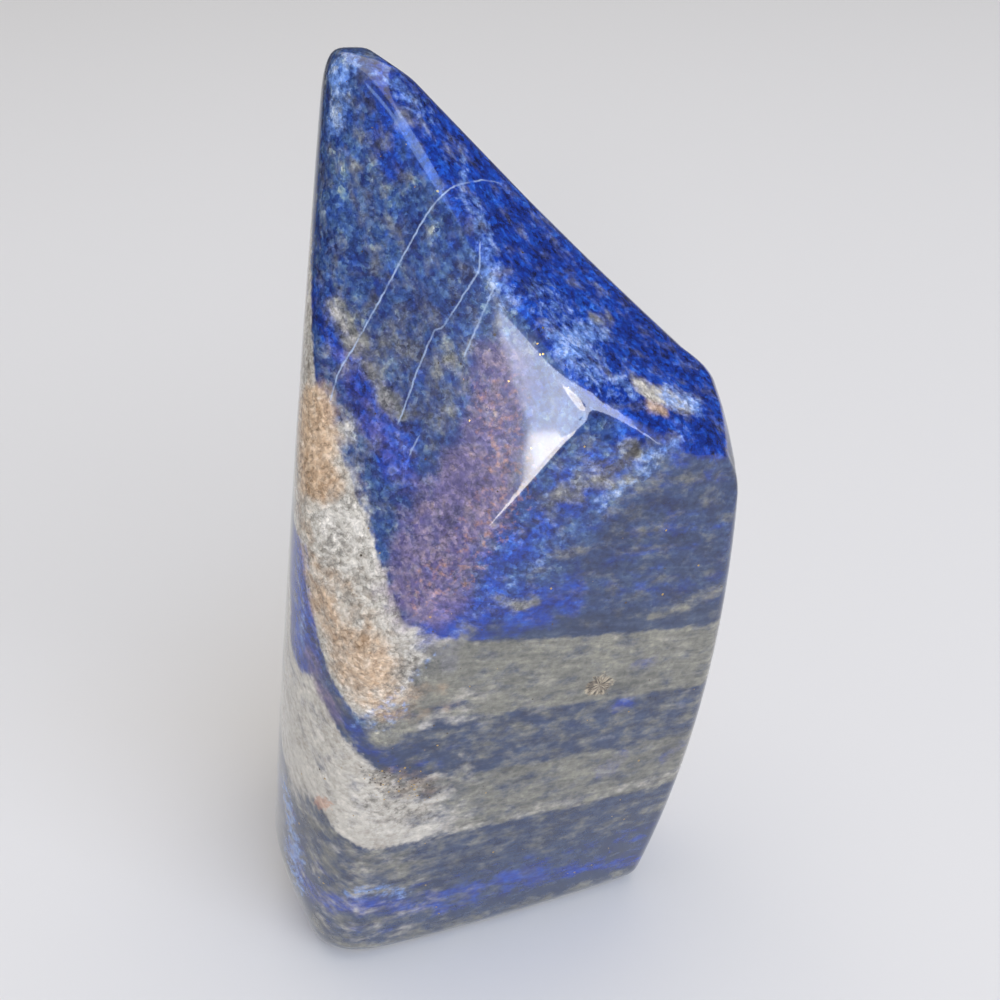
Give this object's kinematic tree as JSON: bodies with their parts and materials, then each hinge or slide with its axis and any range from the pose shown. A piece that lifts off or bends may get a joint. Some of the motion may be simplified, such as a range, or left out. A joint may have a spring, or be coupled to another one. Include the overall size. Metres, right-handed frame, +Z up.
{
  "type": "lapis lazuli freeform",
  "caption": "Polished freeform stone with a flat base, a banded front, two slopes that meet in a ridge, and an off-centre point.",
  "frame": {"origin": "on the plane of the flat base, under the middle of the stone's bounding box", "axes": "+Z up along the stone's height; -Y is the front, with the banded face turned a little towards +X; +X towards the lower shoulder, with the point on the -X side"},
  "size_m": [0.0735, 0.0555, 0.1384],
  "materials": {
    "stone": "polished lapis lazuli, deep blue with grey and cream calcite bands, fine white veins and small pyrite flecks"
  },
  "bodies": {
    "root": {"stone": "stone"}
  },
  "joints": []
}
